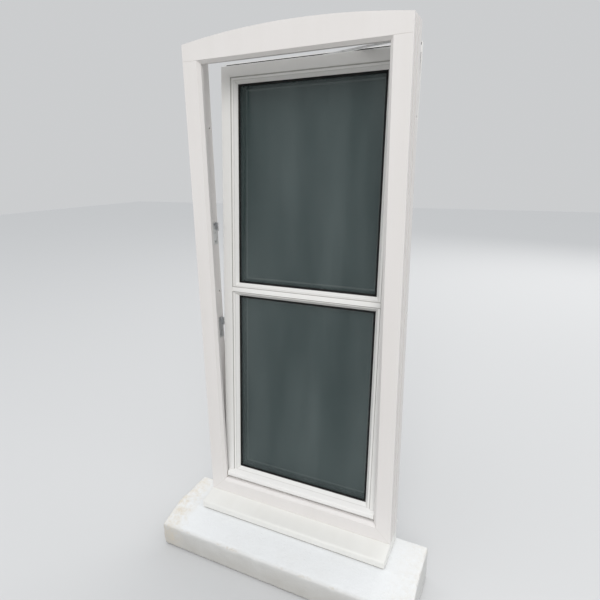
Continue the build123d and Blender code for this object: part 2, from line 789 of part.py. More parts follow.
# Lock side: a rod behind a slotted faceplate, driven by the handle through a pinion and rack.
def make_lock_keep(height):
    """A catch on the jamb: a plate, and a lip on its room side that the raised cam runs behind."""
    z = frame_base + height
    edge_x = -half_rebate
    top = z + lock_travel
    plate = block((edge_x, edge_x + keep_thickness),
                  (groove_y - keep_half_depth, groove_y + keep_half_depth),
                  (z - keep_ends[0], top + keep_ends[1]))
    lip = block((edge_x, edge_x + keep_lip_reach),
                (groove_y + cam_radius + keep_lip_side, groove_y + keep_half_depth),
                (top - cam_radius - keep_lip_ends[0], top + keep_lip_ends[1]))
    ramp = lip.edges().filter_by(Axis.X).group_by(Axis.Z)[0].sort_by(Axis.Y)[0]
    return plate + chamfer(ramp, keep_ramp)


rod_low = frame_base + cam_heights[0] - rod_end
rod_high = frame_base + cam_heights[1] + rod_end


def make_faceplate():
    """The long plate over the lock rod, slotted for the cams."""
    plate = block((-half_sash, faceplate_thickness - half_sash),
                  (groove_low_y, groove_low_y + groove_width),
                  (rod_low - faceplate_end, rod_high + lock_travel + faceplate_end))
    reach = cam_stem + slot_end
    side = cam_stem + slot_side
    for height in cam_heights:
        z = frame_base + height
        plate -= block((-half_sash - 1, faceplate_thickness + 1 - half_sash),
                       (groove_y - side, groove_y + side), (z - reach, z + lock_travel + reach))
    return plate


def make_corner_drive():
    """The plate round the sash's lower corner, over the strip that joins rod and foot bolt."""
    y_span = (groove_low_y, groove_low_y + groove_width)
    stile = block((-half_sash, faceplate_thickness - half_sash), y_span,
                  (sash_low, rod_low - faceplate_end - piece_gap))
    rail_end = foot_bolt_x - lock_travel - foot_plate_ends[0] - piece_gap
    return stile + block((-half_sash, rail_end), y_span,
                         (sash_low, sash_low + faceplate_thickness))


def make_lock_rod():
    """The sliding rod, with the rack's teeth where the pinion meets it."""
    inner_face = rod_face + rod_thickness
    rod = block((rod_face - half_sash, inner_face - half_sash),
                (groove_y - rod_width / 2, groove_y + rod_width / 2), (rod_low, rod_high))
    slope = tan(radians(pressure_angle))
    half_tooth = (tooth_pitch - tooth_backlash) / 4
    tip_half = half_tooth - tooth_addendum * slope
    root_half = half_tooth + (rack_depth - inner_face) * slope
    tip_x = rack_depth + tooth_addendum - half_sash
    root_x = inner_face - half_sash
    first = -round((lock_travel + rack_end) / tooth_pitch)
    last = round(rack_end / tooth_pitch)
    edge = [(rod_face - half_sash, handle_z + (first - 0.5) * tooth_pitch),
            (root_x, handle_z + (first - 0.5) * tooth_pitch)]
    for tooth in range(first, last + 1):
        z = handle_z + tooth * tooth_pitch
        edge += [(root_x, z - root_half), (tip_x, z - tip_half), (tip_x, z + tip_half),
                 (root_x, z + root_half)]
    edge += [(root_x, handle_z + (last + 0.5) * tooth_pitch),
             (rod_face - half_sash, handle_z + (last + 0.5) * tooth_pitch)]
    return rod + front_along_y(outline(*edge), *pinion_y)


def make_lock_cams():
    """Mushroom-headed locking cams riveted to the rod."""
    cams = []
    for height in cam_heights:
        z = frame_base + height
        stem = bar((rod_face - half_sash, groove_y, z), (-1, 0, 0), cam_stem,
                   cam_reach + rod_face)
        head = bar((cam_head - half_sash - cam_reach, groove_y, z), (-1, 0, 0), cam_radius,
                   cam_head)
        cams.append(stem + head)
    return Compound(cams)


pinion_y = (groove_y - rack_width / 2, groove_y + rack_width / 2)
pinion_tip = pinion_radius + tooth_addendum
pinion_root = pinion_radius - tooth_dedendum


def make_gearbox():
    """The lock case in the stile, with a pocket for the pinion."""
    case = block((gearbox_front - half_sash, gearbox_s[1] - piece_gap - half_sash),
                 (gearbox_y[0] + piece_gap, gearbox_y[1] - piece_gap),
                 (handle_z - gearbox_half + piece_gap, handle_z + gearbox_half - piece_gap))
    pocket = bar((spindle_x, pinion_y[0] - piece_gap, handle_z), (0, 1, 0),
                 pinion_tip + gearbox_pocket_gap, pinion_y[1] - pinion_y[0] + 2 * piece_gap)
    hub = bar((spindle_x, gearbox_y[0] - 1, handle_z), (0, 1, 0), spindle_side * hub_hole_share,
              gearbox_y[1] - gearbox_y[0] + 2)
    return case - pocket - hub


def make_pinion():
    """The gear that turns with the spindle: involute flanks, radial below the base circle."""
    base = pinion_radius * cos(radians(pressure_angle))
    half_tooth = (tooth_pitch - tooth_backlash) / 4 / pinion_radius
    involute = tan(radians(pressure_angle)) - radians(pressure_angle)
    flank = [(pinion_root, half_tooth + involute)]
    for radius in (base, (base + pinion_tip) / 2, pinion_tip):
        roll = acos(base / radius)
        flank.append((radius, half_tooth + involute - (tan(roll) - roll)))
    edge = []
    for tooth in range(tooth_count):
        middle = 2 * pi * (tooth + 0.5) / tooth_count
        turns = [(radius, middle - half) for radius, half in flank]
        turns += [(radius, middle + half) for radius, half in reversed(flank)]
        edge += [(spindle_x - radius * cos(turn), handle_z + radius * sin(turn))
                 for radius, turn in turns]
    half = spindle_side / 2
    return front_along_y(outline(*edge), *pinion_y) - block(
        (spindle_x - half, spindle_x + half), (pinion_y[0] - 1, pinion_y[1] + 1),
        (handle_z - half, handle_z + half))


# Handle: a lever on a square spindle, with a base plate that hides the screws' heads.
spindle_end = room_y + spindle_socket


def make_spindle():
    half = spindle_side / 2
    return block((spindle_x - half, spindle_x + half), (pinion_y[0] - pin_end_gap, spindle_end),
                 (handle_z - half, handle_z + half))


def make_rose():
    """The handle's base plate, fixed to the stile by two screws."""
    plate = Plane(origin=(spindle_x, room_y, handle_z), x_dir=(1, 0, 0), z_dir=(0, 1, 0))
    rose = extrude(plate * RectangleRounded(rose_width, rose_length, rose_corner),
                   amount=rose_thickness)
    rose = chamfer(rose.edges().group_by(Axis.Y)[-1], rose_bevel)
    rose -= bar((spindle_x, room_y - 1, handle_z), (0, 1, 0), hub_radius + piece_gap,
                rose_thickness + 2)
    for side in (-1, 1):
        rose -= bar((spindle_x, room_y - 1, handle_z + side * rose_screw_spacing / 2), (0, 1, 0),
                    rose_screw_radius + piece_gap, rose_thickness + 2)
    return rose


def make_rose_screws():
    return Compound([bar((spindle_x, room_y, handle_z + side * rose_screw_spacing / 2), (0, 1, 0),
                         rose_screw_radius, rose_screw_height) for side in (-1, 1)])


def make_lever():
    """The handle lever, pointing up in the tilt position."""
    hub_low = room_y + lever_gap
    middle_y = hub_low + lever_standoff - lever_middle_inset
    hub = bar((spindle_x, hub_low, handle_z), (0, 1, 0), hub_radius, lever_standoff)
    sections = [Plane(origin=(spindle_x, middle_y + offset, handle_z + height))
                * RectangleRounded(width, depth, corner)
                for height, offset, width, depth, corner in lever_sections]
    grip = loft(sections, ruled=True)
    half = spindle_side / 2 + spindle_slack
    socket = block((spindle_x - half, spindle_x + half),
                   (hub_low - 1, spindle_end + spindle_slack), (handle_z - half, handle_z + half))
    return hub + grip - socket


# Put together. The sash and what rides on it are tipped about the level hinge axis.
ring = make_frame_ring() - edge_grooves()
sash_frame = make_sash_frame()

fixed = {
    "stone_sill": make_stone_sill(),
    "pvc_sill": make_sill(sill_cap_thickness - half_frame, half_frame - sill_cap_thickness),
    "sill_end_cap_left": make_sill(-half_frame, sill_cap_thickness - half_frame),
    "sill_end_cap_right": make_sill(half_frame - sill_cap_thickness, half_frame),
    "outer_frame": make_outer_frame(ring),
    "frame_head": make_frame_head(ring),
    "frame_reinforcement": make_frame_reinforcement(),
    "frame_gasket": make_frame_gasket(),
    "pivot_bearing": make_pivot_bearing(),
    "stay_bearing": make_stay_bearing(),
    "tilt_keep": make_tilt_keep(),
    "lock_keep_lower": make_lock_keep(cam_heights[0]),
    "lock_keep_upper": make_lock_keep(cam_heights[1])}

turning = {"corner_pivot": make_corner_pivot()}

tipping = {
    "sash_frame": sash_frame,
    "sash_reinforcement": make_sash_reinforcement(),
    "mid_rail": make_mid_rail(sash_frame),
    "sash_gasket": make_sash_gasket(),
    "glazing_packers": make_packers(),
    "hinge_band": make_hinge_band(),
    "stay_rail": make_stay_rail(),
    "weather_bar": make_weather_bar(sash_frame),
    "foot_plate": make_foot_plate(),
    "foot_bolt": make_foot_bolt(),
    "corner_drive": make_corner_drive(),
    "lock_faceplate": make_faceplate(),
    "gearbox": make_gearbox(),
    "handle_rose": make_rose(),
    "rose_screws": make_rose_screws(),
    "lock_rod": make_lock_rod(),
    "lock_cams": make_lock_cams(),
    "lock_pinion": make_pinion(),
    "handle_spindle": make_spindle(),
    "handle_lever": make_lever()}
for name, (low, high) in units.items():
    tipping[name + "_pane_outer"] = make_pane(low, high, glass_y)
    tipping[name + "_pane_inner"] = make_pane(low, high, inner_glass_y)
    tipping[name + "_spacer"] = make_spacer(low, high)
    tipping[name + "_glazing_gasket"] = make_glazing_gasket(low, high)
    for side in ("bottom", "top", "left", "right"):
        tipping[name + "_bead_" + side] = make_bead(low, high, side)

swinging = {"stay_arm": make_stay_arm()}

tilt_axis = Axis((turn_x, turn_y, tilt_z), (-1, 0, 0))
turn_axis = Axis((turn_x, turn_y, 0), (0, 0, -1))
nodes = dict(fixed, **turning)
nodes.update({name: solid.rotate(tilt_axis, tilt_angle) for name, solid in tipping.items()})
nodes.update({name: solid.rotate(turn_axis, stay_swing) for name, solid in swinging.items()})

for name, solid in nodes.items():
    export_step(solid, f"parts/{name}.step")

print("stay arm swing", round(stay_swing, 3), "ratio", round(stay_swing / tilt_angle, 4))
print("turn axis", turn_x, turn_y, "tilt axis height", tilt_z, "handle", spindle_x, handle_z)
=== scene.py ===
from math import cos, pi, radians, sin

import bmesh
import bpy
from mathutils import Matrix, Vector
from mathutils.noise import fractal


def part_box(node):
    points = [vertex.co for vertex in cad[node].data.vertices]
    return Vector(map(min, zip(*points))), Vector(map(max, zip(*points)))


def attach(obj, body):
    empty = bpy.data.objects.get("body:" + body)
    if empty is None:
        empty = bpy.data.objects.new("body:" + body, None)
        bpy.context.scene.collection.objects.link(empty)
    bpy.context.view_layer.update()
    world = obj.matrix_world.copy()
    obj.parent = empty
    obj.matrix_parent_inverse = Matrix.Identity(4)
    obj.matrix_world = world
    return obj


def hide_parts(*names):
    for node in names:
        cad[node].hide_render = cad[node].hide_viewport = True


# A white plastic tilt-and-turn window under an arched head, tipped in from the bottom, on its
# plastic sill and painted stone sill. The pieces follow in the order in which they are fitted.
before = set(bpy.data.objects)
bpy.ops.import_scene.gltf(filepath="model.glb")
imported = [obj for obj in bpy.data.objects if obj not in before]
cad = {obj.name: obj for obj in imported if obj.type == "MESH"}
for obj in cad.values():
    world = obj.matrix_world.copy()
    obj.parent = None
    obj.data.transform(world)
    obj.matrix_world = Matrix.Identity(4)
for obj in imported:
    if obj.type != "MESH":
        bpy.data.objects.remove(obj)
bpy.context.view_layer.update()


# Stone sill: one sawn block, built in at its ends, with its arrises worn and chipped. It has many
# coats of white masonry paint, thin on the arrises, and cement smeared over its ends, mostly the
# left one. Its front is coloured darker towards its foot, and painted shade darkens its crevices.
stone_voxel = 0.0036
arris_width = 0.011
arris_wear = 0.0030
stone_unevenness = 0.0009
least_wear = 0.0002
lumps_per_metre = 42
chips_per_metre = 26
seat_height = 0.0975
seat_margin = 0.002
weathering_fall = 0.027
underside_spared = 0.004
stone_paint = (0.77, 0.785, 0.795)
paint_patch = (0.68, 0.675, 0.65)
stone_front_darker = (0.55, 0.54, 0.515)
bare_stone = (0.58, 0.54, 0.48)
cement = (0.66, 0.60, 0.50)
stone_painted_shade = (0.30, 0.28, 0.25)
stone_low, stone_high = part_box("stone_sill")
sill_low, sill_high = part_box("pvc_sill")


def finish_named(name, colour, roughness, **sockets):
    """A material whose plain numbers are on its shader's own sockets."""
    material = bpy.data.materials.new(name)
    material.use_nodes = True
    shader = material.node_tree.nodes["Principled BSDF"]
    shader.inputs["Base Color"].default_value = (*colour, 1)
    shader.inputs["Roughness"].default_value = roughness
    for socket, value in sockets.items():
        shader.inputs[socket.replace("_", " ")].default_value = value
    return material


def add_node(material, kind, inputs=None, **settings):
    """A node of the kind; each input takes a value or another node's output."""
    node = material.node_tree.nodes.new("ShaderNode" + kind)
    for setting, value in settings.items():
        setattr(node, setting, value)
    for socket, value in (inputs or {}).items():
        if isinstance(value, bpy.types.NodeSocket):
            material.node_tree.links.new(value, node.inputs[socket])
        else:
            node.inputs[socket].default_value = value
    return node


def into_shader(material, socket, output):
    """Links an output to the shader."""
    shader = material.node_tree.nodes["Principled BSDF"]
    material.node_tree.links.new(output, shader.inputs[socket])


def place_of(material, stretch=(1, 1, 1), turn=(0, 0, 0), shift=(0, 0, 0)):
    """Object coordinates, which the piece carries with it when it moves."""
    coordinates = add_node(material, "TexCoord")
    mapping = add_node(material, "Mapping", {
        "Vector": coordinates.outputs["Object"], "Scale": stretch, "Rotation": turn,
        "Location": shift})
    return mapping.outputs["Vector"]


def spread(material, value, over, to=(0.0, 1.0)):
    """A value's range, moved to run over another one and stopped at its ends."""
    moved = add_node(material, "MapRange", {
        "Value": value, "From Min": over[0], "From Max": over[1],
        "To Min": to[0], "To Max": to[1]})
    return moved.outputs["Result"]


def noise(material, place, scale, detail=3.0, roughness=0.5, over=(0.0, 1.0), top=1.0):
    """Noise; the part of its range that over gives runs from 0 to the top value."""
    cloud = add_node(material, "TexNoise", {
        "Vector": place, "Scale": scale, "Detail": detail, "Roughness": roughness})
    return spread(material, cloud.outputs["Fac"], over, (0.0, top))


def maths(material, operation, first, second=0.0):
    """One sum with two numbers, and its result."""
    return add_node(material, "Math", {0: first, 1: second}, operation=operation).outputs[0]


def mix_colours(material, share, first, second):
    """The first colour at a share of 0, the second at 1."""
    mixed = add_node(material, "Mix", {0: share}, data_type="RGBA")
    for socket, colour in ((6, first), (7, second)):
        if isinstance(colour, bpy.types.NodeSocket):
            material.node_tree.links.new(colour, mixed.inputs[socket])
        else:
            mixed.inputs[socket].default_value = (*colour, 1)
    return mixed.outputs[2]


def relief(material, height, depth):
    """Raises the surface by the height's value times a depth in metres."""
    bump = add_node(material, "Bump", {"Height": height, "Distance": depth})
    into_shader(material, "Normal", bump.outputs["Normal"])


def piece_from(shape, name, material=None):
    """Ends a bmesh and makes its object, which stands at the origin."""
    mesh = bpy.data.meshes.new(name)
    shape.to_mesh(mesh)
    shape.free()
    if material is not None:
        mesh.materials.append(material)
    piece = bpy.data.objects.new(name, mesh)
    bpy.context.scene.collection.objects.link(piece)
    return piece


def stone_wear(place):
    """How much of the arris is left bare at a place, from 0 on a flat face to 1 on the arris."""
    forward = max(0.0, (sill_low.y - place.y) / (sill_low.y - stone_low.y))
    top = stone_high.z - forward * weathering_fall
    depths = sorted((stone_high.x - abs(place.x), place.y - stone_low.y, abs(top - place.z),
                     place.z + underside_spared))
    return max(0.0, 1 - depths[1] / arris_width)


block = bmesh.new()
block.from_mesh(cad["stone_sill"].data)
bmesh.ops.remove_doubles(block, verts=block.verts, dist=1e-6)
stone = piece_from(block, "painted_stone_sill")
remesh = stone.modifiers.new("even_faces", "REMESH")
remesh.voxel_size = stone_voxel
stone.data = bpy.data.meshes.new_from_object(
    stone.evaluated_get(bpy.context.evaluated_depsgraph_get()))
stone.modifiers.clear()
stone_shape = bmesh.new()
stone_shape.from_mesh(stone.data)
stone_shape.normal_update()
bareness = stone_shape.verts.layers.float.new("bareness")
for vert in stone_shape.verts:
    under_sill = (vert.co.z > seat_height and abs(vert.co.x) < sill_high.x + seat_margin
                  and vert.co.y > sill_low.y)
    wear = stone_wear(vert.co)
    lumps = 0.5 + 0.5 * fractal(vert.co * lumps_per_metre, 0.8, 2.1, 4)
    chips = max(0.0, fractal(vert.co * chips_per_metre + Vector((3, 5, 7)), 0.9, 2.0, 3))
    worn_off = least_wear + stone_unevenness * lumps + wear * arris_wear * (0.25 + 1.5 * chips)
    vert[bareness] = wear * (0.25 + 1.9 * chips)
    vert.co -= vert.normal * (least_wear if under_sill else worn_off)
stone_shape.to_mesh(stone.data)
stone_shape.free()
for face in stone.data.polygons:
    face.use_smooth = True

painted_stone = finish_named("painted_stone", stone_paint, roughness=0.72, Specular_IOR_Level=0.35)
stone_place = place_of(painted_stone)
stone_parts = add_node(painted_stone, "SeparateXYZ", {"Vector": stone_place})
patches = noise(painted_stone, stone_place, scale=11, detail=5, roughness=0.6, over=(0.48, 0.9),
                top=0.35)
stone_colour = mix_colours(painted_stone, patches, stone_paint, paint_patch)

# The front face is coloured darker, most towards its foot and unevenly.
on_front = spread(painted_stone, stone_parts.outputs["Y"], (-0.1435, -0.134), (1, 0))
lowness = spread(painted_stone, stone_parts.outputs["Z"], (0.085, 0.02), (0.45, 1.0))
front_variation = noise(painted_stone, place_of(painted_stone, (1, 1, 0.5)), scale=14, detail=4,
             roughness=0.6, over=(0.25, 0.75))
front_darkening = maths(painted_stone, "MULTIPLY", on_front, lowness)
front_darkening = maths(painted_stone, "MULTIPLY", front_darkening,
                 spread(painted_stone, front_variation, (0, 1), (0.8, 1.1)))
stone_colour = mix_colours(painted_stone, front_darkening, stone_colour, stone_front_darker)

bare_share = add_node(painted_stone, "Attribute", attribute_name="bareness").outputs["Fac"]
bare_share = maths(painted_stone, "MULTIPLY", bare_share,
                   noise(painted_stone, stone_place, scale=130, detail=5, roughness=0.65,
                         over=(0.36, 0.62)))
bare_share = spread(painted_stone, bare_share, (0.2, 0.9), (0, 0.7))
stone_colour = mix_colours(painted_stone, bare_share, stone_colour, bare_stone)

ragged_edge = noise(painted_stone, stone_place, scale=30, detail=6, roughness=0.7,
                    over=(0.2, 0.8), top=0.05)
from_middle = maths(painted_stone, "ADD", ragged_edge,
                    maths(painted_stone, "ABSOLUTE", stone_parts.outputs["X"]))
smears = noise(painted_stone, stone_place, scale=60, detail=6, roughness=0.75, over=(0.34, 0.70))
cement_share = maths(painted_stone, "MULTIPLY", smears,
                     spread(painted_stone, from_middle, (0.325, 0.385)))
cement_share = maths(painted_stone, "MULTIPLY", cement_share, spread(
    painted_stone, stone_parts.outputs["X"], (-0.1, 0.1), (0.95, 0.35)))
stone_colour = mix_colours(painted_stone, cement_share, stone_colour, cement)

# Painted shade: the stone is darkened where its surface is hemmed in, in its crevices and under the
# plastic sill's nose.
stone_occlusion = add_node(painted_stone, "AmbientOcclusion", {"Distance": 0.014}, samples=6)
stone_colour = mix_colours(
    painted_stone, spread(painted_stone, stone_occlusion.outputs["AO"], (0.7, 0.2), (0, 0.6)),
    stone_colour, stone_painted_shade)
into_shader(painted_stone, "Base Color", stone_colour)

pits = noise(painted_stone, stone_place, scale=210, detail=6, roughness=0.62, over=(0.3, 0.75))
brush_marks = noise(painted_stone, place_of(painted_stone, (0.06, 1, 1)), scale=420, detail=2,
                    over=(0.2, 0.8), top=0.4)
relief(painted_stone, maths(painted_stone, "ADD", pits, brush_marks), depth=0.0005)
stone.data.materials.clear()
stone.data.materials.append(painted_stone)
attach(stone, "frame")
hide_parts("stone_sill")


# Plastic sill: an extrusion with a sloping top and a rounded nose, glued and screwed under the
# frame. A moulded cap closes each end. Rain has left faint runs down its slope.
sill_white = (0.79, 0.79, 0.765)
cap_white = (0.78, 0.78, 0.755)
dirt_and_shade_tone = (0.50, 0.46, 0.39)
down_the_slope = (1, 0.12, 0.3)


def white_upvc(name, colour, run_stretch, runs_share=0.09, dust_share=0.07):
    """Extruded uPVC: hardly any relief, rain runs along the stretch, painted shade in its corners.
    """
    material = finish_named(name, colour, roughness=0.30, Specular_IOR_Level=0.5)
    place = place_of(material)
    rain_runs = noise(material, place_of(material, run_stretch), scale=26, over=(0.40, 0.90),
                      top=runs_share)
    dust = noise(material, place, scale=5, over=(0.35, 0.90), top=dust_share)
    # Painted shade: corners and recesses, found by occlusion, are darkened in the same brownish
    # tone as the dirt.
    corner = add_node(material, "AmbientOcclusion", {"Distance": 0.0045}, samples=10)
    corner_shade = maths(material, "MULTIPLY",
                        spread(material, corner.outputs["AO"], (0.86, 0.35), (0, 0.62)),
                        noise(material, place, scale=40, detail=2, over=(-0.8, 0.8)))
    dirt_and_corner_shade = maths(material, "MAXIMUM", maths(material, "ADD", rain_runs, dust), corner_shade)
    return material, place, mix_colours(material, dirt_and_corner_shade, colour, dirt_and_shade_tone)


def finish_upvc(material, place, colour, seam=None):
    """Ends a uPVC finish: colour, a polish that varies, and the fine relief with any seam."""
    into_shader(material, "Base Color", colour)
    polish = noise(material, place, scale=9, detail=2, roughness=0.4, over=(0.1, 0.9))
    into_shader(material, "Roughness", spread(material, polish, (0, 1), (0.29, 0.36)))
    skin = noise(material, place, scale=260, detail=2, over=(0.2, 0.8), top=0.15)
    if seam is not None:
        skin = maths(material, "SUBTRACT", skin, seam)
    relief(material, skin, depth=0.00012)


def dress(material, *names):
    """Gives CAD nodes their finish."""
    for name in names:
        for slot in cad[name].material_slots:
            slot.material = material


def ease_edges(width, *names):
    """Takes the sharpness off the edges of CAD nodes, as moulding and handling do."""
    for name in names:
        joined = cad[name].modifiers.new("joined", "WELD")
        joined.merge_threshold = 0.000005
        eased = cad[name].modifiers.new("eased", "BEVEL")
        eased.width = width
        eased.segments = 2
        eased.limit_method = "ANGLE"
        eased.angle_limit = radians(38)


for name, white, nodes in (
        ("sill_upvc", sill_white, ["pvc_sill"]),
        ("sill_cap_upvc", cap_white, ["sill_end_cap_left", "sill_end_cap_right"])):
    sill_finish = white_upvc(name, white, down_the_slope)
    finish_upvc(*sill_finish)
    dress(sill_finish[0], *nodes)
    ease_edges(0.0007, *nodes)


# Outer frame: two jambs and a bottom rail of extruded uPVC, mitred and welded at the lower corners,
# with the arched head welded on above the level seams. The weld bead is pared off flush.
jamb_white = (0.79, 0.766, 0.754)
frame_outer_x = 0.289
frame_foot_z = 0.130
seam_half_width = (0.0004, 0.0013)


def weld_seam(material, place, half_width, foot):
    """The pared weld along each lower mitre, 1 on its line and 0 away from it."""
    parts = add_node(material, "SeparateXYZ", {"Vector": place})
    from_side = maths(material, "SUBTRACT", half_width,
                      maths(material, "ABSOLUTE", parts.outputs["X"]))
    from_foot = maths(material, "SUBTRACT", parts.outputs["Z"], foot)
    apart = maths(material, "ABSOLUTE", maths(material, "SUBTRACT", from_side, from_foot))
    return spread(material, apart, seam_half_width, (1, 0))


jamb_finish, jamb_place, jamb_colour = white_upvc("jamb_upvc", jamb_white, (1, 1, 0.07))
jamb_seam = weld_seam(jamb_finish, jamb_place, frame_outer_x, frame_foot_z)
jamb_colour = mix_colours(jamb_finish, maths(jamb_finish, "MULTIPLY", jamb_seam, 0.22),
                          jamb_colour, dirt_and_shade_tone)
finish_upvc(jamb_finish, jamb_place, jamb_colour, jamb_seam)
dress(jamb_finish, "outer_frame", "frame_head")


# Steel reinforcement: galvanised box sections that slide into the frame's and the sash's chambers
# before the corners are welded.
spangle_pale = (0.62, 0.64, 0.65)
spangle_dark = (0.42, 0.44, 0.46)
galvanised = finish_named("galvanised_steel", spangle_pale, roughness=0.42, Metallic=1.0)
spangle = add_node(galvanised, "TexVoronoi", {"Vector": place_of(galvanised), "Scale": 160.0})
into_shader(galvanised, "Base Color",
            mix_colours(galvanised, spangle.outputs["Color"], spangle_dark, spangle_pale))
into_shader(galvanised, "Roughness",
            spread(galvanised, spangle.outputs["Distance"], (0, 0.7), (0.34, 0.58)))
dress(galvanised, "frame_reinforcement", "sash_reinforcement")


# Seals: black extruded rubber pressed into the frame, the sash and round each glass unit. Dust
# greys it and its skin is dull.
rubber_black = (0.010, 0.010, 0.011)
rubber_dusty = (0.030, 0.029, 0.026)
rubber = finish_named("black_rubber", rubber_black, roughness=0.7, Specular_IOR_Level=0.2)
rubber_place = place_of(rubber)
rubber_dust = noise(rubber, rubber_place, scale=45, detail=5, roughness=0.65, over=(0.45, 0.85))
into_shader(rubber, "Base Color", mix_colours(rubber, rubber_dust, rubber_black, rubber_dusty))
into_shader(rubber, "Roughness", noise(rubber, rubber_place, scale=90, over=(-1.6, 1.0)))
relief(rubber, noise(rubber, rubber_place, scale=700, roughness=0.6), depth=0.0001)
dress(rubber, "frame_gasket", "sash_gasket", "upper_glazing_gasket", "lower_glazing_gasket")


# Sash: four mitred and welded uPVC bars with a moulded face, and a mid rail scribed over them. A
# weather bar is clipped along the foot to shed the drips. The sash is tipped, so its patterns are
# laid out as it closes.
sash_white = (0.87, 0.865, 0.85)
quirk_shadow = (0.30, 0.29, 0.27)
sash_dirt = (0.06, 0.05)
tilt = radians(4.32)
hinge_y = 0.080
hinge_z = 0.160
sash_half = 0.2505
sash_foot_z = 0.165
sash_top_z = 1.3795
sash_face_y = (0.027, 0.025)
sash_border = 0.0445
mid_rail_z = 0.778
mid_rail_half = 0.0188
# How far the quirk and the chamfer's start lie from a bar's edge, or from the mid rail's middle.
bar_quirk, bar_chamfer = 0.0296, 0.0365
rail_quirk, rail_chamfer = 0.0075, 0.0108
quirk_half_width = (0.0007, 0.0015)
along_x, along_z = (0.08, 1, 1), (1, 1, 0.08)


def closed_place(material):
    """Object coordinates turned back to the closed sash about its level hinge line."""
    turned_y = hinge_y * cos(tilt) - hinge_z * sin(tilt)
    turned_z = hinge_y * sin(tilt) + hinge_z * cos(tilt)
    return place_of(material, turn=(tilt, 0, 0), shift=(0, hinge_y - turned_y, hinge_z - turned_z))


def from_line(material, value, line):
    """How far a value is from a line, on either side."""
    return maths(material, "ABSOLUTE", maths(material, "SUBTRACT", value, line))


def from_sides(material, parts, border=0.0):
    """How far a place on the closed sash is inside its border, from the side, foot and top."""
    across = maths(material, "SUBTRACT", sash_half - border,
                   maths(material, "ABSOLUTE", parts.outputs["X"]))
    up = maths(material, "SUBTRACT", parts.outputs["Z"], sash_foot_z + border)
    down = maths(material, "SUBTRACT", sash_top_z - border, parts.outputs["Z"])
    return maths(material, "MINIMUM", across, maths(material, "MINIMUM", up, down))


def moulding_shadow_lines(material, bar):
    """Painted shadow lines along the moulding's foot, 1 in the quirk and less at the start of the
    chamfer.
    """
    parts = add_node(material, "SeparateXYZ", {"Vector": closed_place(material)})
    if bar == "mid_rail":
        inwards = from_line(material, parts.outputs["Z"], mid_rail_z)
        quirk, chamfer = rail_quirk, rail_chamfer
    else:
        inwards = from_sides(material, parts)
        quirk, chamfer = bar_quirk, bar_chamfer
    in_quirk = spread(material, from_line(material, inwards, quirk), quirk_half_width, (1.0, 0))
    at_chamfer = spread(material, from_line(material, inwards, chamfer), quirk_half_width,
                        (0.35, 0))
    on_face = spread(material, parts.outputs["Y"], sash_face_y)
    return maths(material, "MULTIPLY", maths(material, "MAXIMUM", in_quirk, at_chamfer), on_face)


for name, stretch, bar in (("stile_upvc", along_z, "sash_frame"),
                           ("rail_upvc", along_x, "mid_rail")):
    sash_finish, sash_place, sash_colour = white_upvc(name, sash_white, stretch, *sash_dirt)
    # Painted shadow lines darken the quirk and the start of the chamfer on each bar's face.
    moulding_shadow_share = maths(sash_finish, "MULTIPLY", moulding_shadow_lines(sash_finish, bar), 0.75)
    sash_colour = mix_colours(sash_finish, moulding_shadow_share, sash_colour, quirk_shadow)
    sash_seam = None
    if bar == "sash_frame":
        sash_seam = weld_seam(sash_finish, closed_place(sash_finish), sash_half, sash_foot_z)
        sash_colour = mix_colours(sash_finish, maths(sash_finish, "MULTIPLY", sash_seam, 0.25),
                                  sash_colour, dirt_and_shade_tone)
    finish_upvc(sash_finish, sash_place, sash_colour, sash_seam)
    dress(sash_finish, bar)

drip_finish, drip_place, drip_colour = white_upvc("drip_upvc", sash_white, along_x, *sash_dirt)
finish_upvc(drip_finish, drip_place, drip_colour)
dress(drip_finish, "weather_bar")
ease_edges(0.0005, "mid_rail", "weather_bar")


# Weather bar caps: a small moulded uPVC block pressed on each end of the bar, cut to the slant of
# the bar's top and tipped with the sash.
cap_x, cap_y, cap_z = 0.2343, 0.01475, 0.19155
cap_size = (0.0068, 0.0117, 0.0213)
slant_through, slant_facing = (0, 0.0089, 0.1945), (0, -0.52, 0.854)
hinge_point = Vector((0, hinge_y, hinge_z))
tipped = (Matrix.Translation(hinge_point) @ Matrix.Rotation(-tilt, 4, "X")
          @ Matrix.Translation(-hinge_point))


def verts_in(geometry):
    """The vertices in what an operator gives back."""
    return [item for item in geometry if isinstance(item, bmesh.types.BMVert)]


def edges_in(geometry):
    """The edges in what an operator gives back."""
    return [item for item in geometry if isinstance(item, bmesh.types.BMEdge)]


cap_shape = bmesh.new()
for side in (-1, 1):
    bmesh.ops.create_cube(cap_shape, size=1, matrix=Matrix.Translation(
        (side * cap_x, cap_y, cap_z)) @ Matrix.Diagonal((*cap_size, 1)))
slant = bmesh.ops.bisect_plane(
    cap_shape, geom=cap_shape.verts[:] + cap_shape.edges[:] + cap_shape.faces[:],
    plane_co=slant_through, plane_no=slant_facing, clear_outer=True)
bmesh.ops.holes_fill(cap_shape, edges=edges_in(slant["geom_cut"]), sides=8)
bmesh.ops.bevel(cap_shape, geom=cap_shape.edges[:], offset=0.0006, segments=2, affect="EDGES",
                profile=0.5, material=-1)
bmesh.ops.recalc_face_normals(cap_shape, faces=cap_shape.faces)
bmesh.ops.transform(cap_shape, verts=cap_shape.verts, matrix=tipped)
weather_bar_caps = piece_from(cap_shape, "weather_bar_caps", drip_finish)
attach(weather_bar_caps, "sash")
